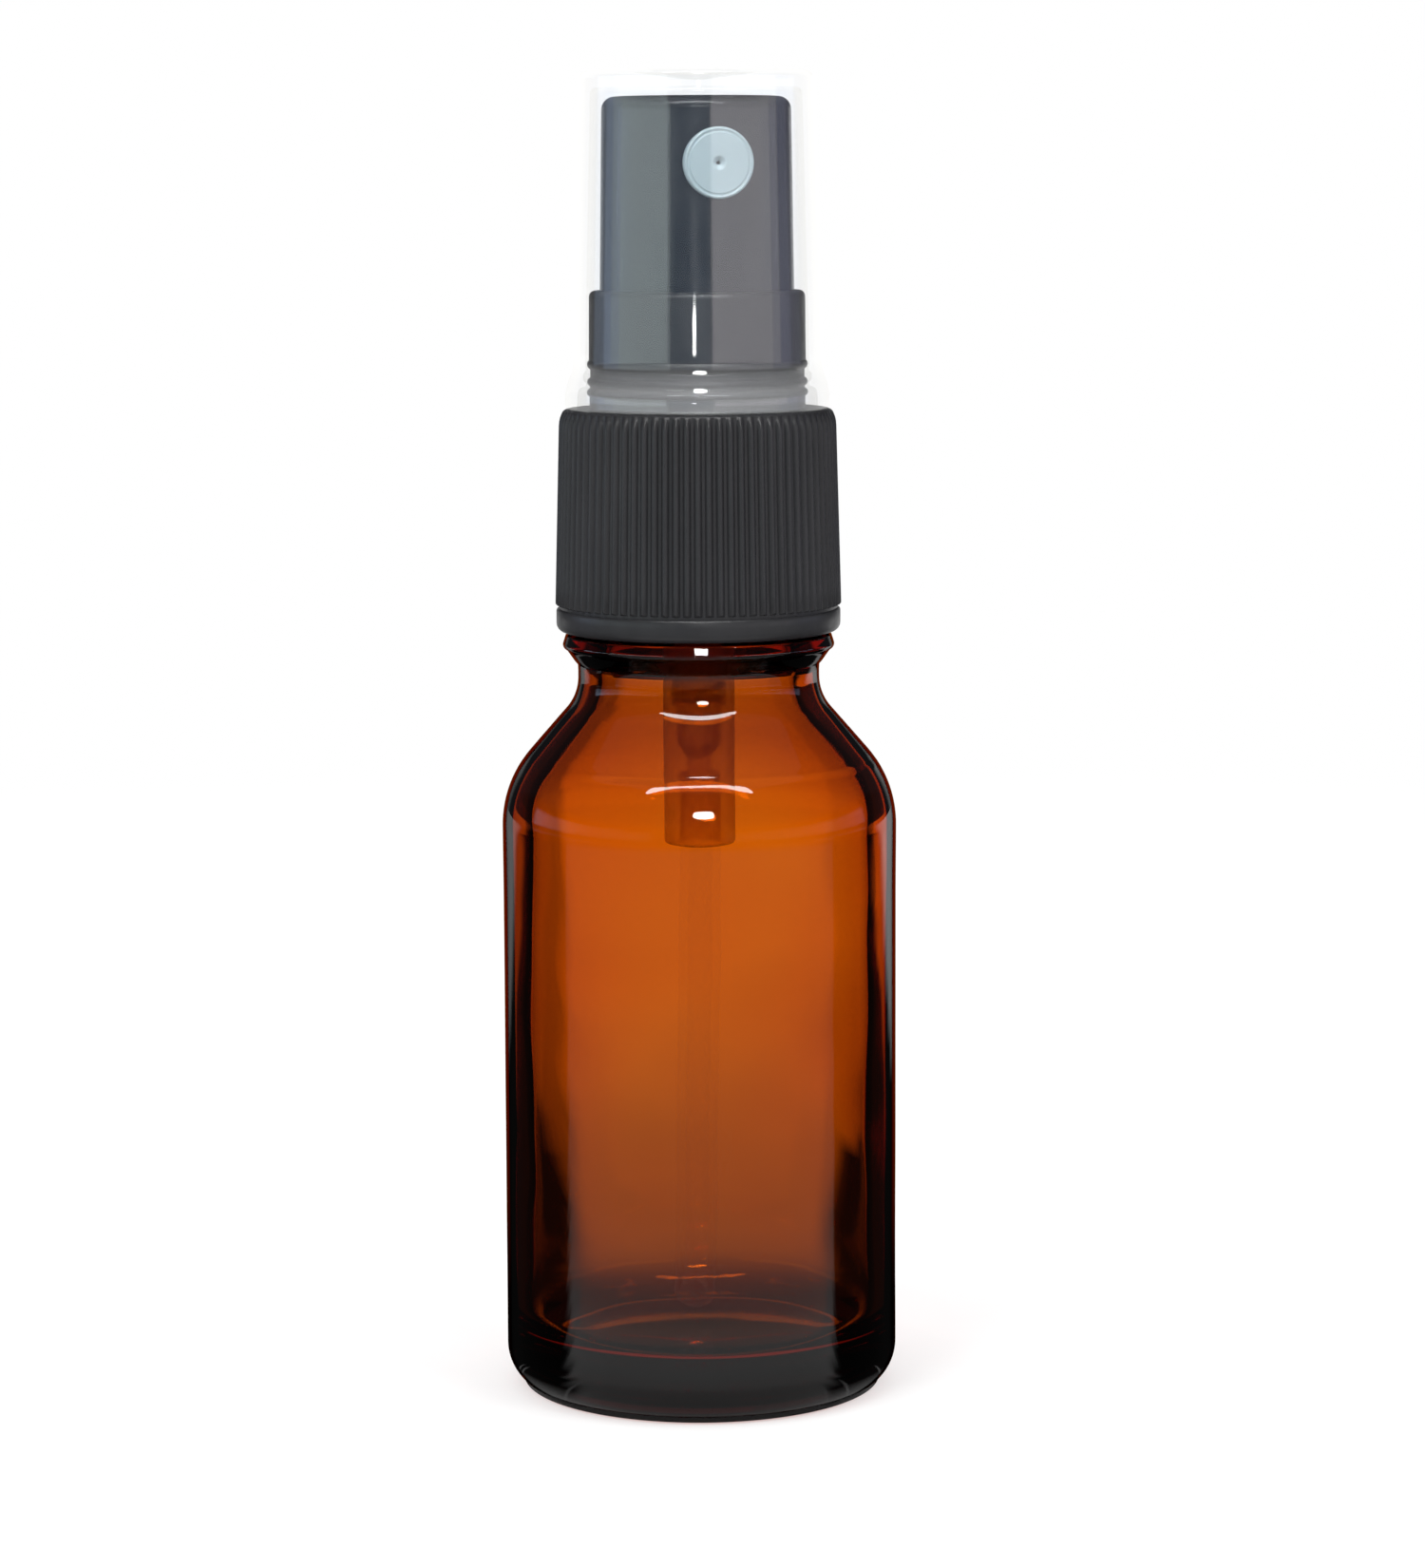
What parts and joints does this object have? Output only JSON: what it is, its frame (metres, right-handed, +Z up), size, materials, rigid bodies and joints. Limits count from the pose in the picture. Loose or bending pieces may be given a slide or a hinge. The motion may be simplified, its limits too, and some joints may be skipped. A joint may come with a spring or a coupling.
{
  "type": "spray bottle",
  "caption": "Pocket fine-mist spray bottle: round amber glass bottle with screw neck, ribbed black screw closure, finger pump with white nozzle, spring pump inside, dip tube and clear overcap.",
  "frame": {"origin": "centre of the bottle's base, on the plane it stands on", "axes": "+Z up along the bottle's axis; the nozzle faces -Y at rest; +X is to the right of someone the nozzle points at"},
  "size_m": [0.0288, 0.0288, 0.0959],
  "materials": {
    "amber_glass": "amber glass, smooth and glossy, slightly uneven inside",
    "black_pp": "black polypropylene, fine satin moulding",
    "clear_pp": "clear polypropylene, slightly milky",
    "white_pom": "white acetal, smooth satin",
    "natural_pp": "natural polypropylene, translucent milky",
    "natural_pe": "natural polyethylene tube, translucent",
    "gasket_pe": "foamed polyethylene sealing ring",
    "spring_steel": "drawn stainless spring wire",
    "glass_ball": "small clear glass check ball"
  },
  "bodies": {
    "glass": {"bottle": "amber_glass"},
    "pump": {"pump_housing": "natural_pp", "turret": "natural_pp", "neck_gasket": "gasket_pe", "dip_tube": "natural_pe", "main_spring": "spring_steel"},
    "screw_ring": {"closure": "black_pp"},
    "cap": {"overcap": "clear_pp"},
    "rod": {"stem": "white_pom", "valve_pin": "natural_pp"},
    "plunger": {"piston": "natural_pe"},
    "button": {"actuator": "black_pp", "nozzle_insert": "white_pom"},
    "inlet_ball": {"check_ball": "glass_ball"}
  },
  "joints": [
    {"name": "closure_unscrew", "type": "hinge", "parent": "pump", "child": "screw_ring", "pos_m": [0, 0, 0.064], "axis": [0, 0, 1], "range_deg": [0, 540]},
    {"name": "pump_rise", "type": "slide", "parent": "glass", "child": "pump", "axis": [0, 0, 1], "range_m": [0, 0.0045]},
    {"name": "actuator_press", "type": "slide", "parent": "pump", "child": "rod", "axis": [0, 0, -1], "range_m": [0, 0.005], "stiffness_N_per_m": 700, "springref_m": -0.003, "deforming": ["main_spring"]},
    {"name": "piston_slide", "type": "slide", "parent": "pump", "child": "plunger", "axis": [0, 0, -1], "range_m": [0, 0.0042]},
    {"name": "actuator_swivel", "type": "hinge", "parent": "rod", "child": "button", "pos_m": [0, 0, 0.084], "axis": [0, 0, 1], "continuous": true},
    {"name": "cap_lift", "type": "slide", "parent": "screw_ring", "child": "cap", "axis": [0, 0, 1], "range_m": [0, 0.03]},
    {"name": "ball_lift", "type": "slide", "parent": "pump", "child": "inlet_ball", "axis": [0, 0, 1], "range_m": [0, 0.001]}
  ],
  "couplings": [
    {"joint": "pump_rise", "follows": "closure_unscrew", "m_per_rad": 0.00047746},
    {"joint": "piston_slide", "follows": "actuator_press", "ratio": 0.84}
  ]
}
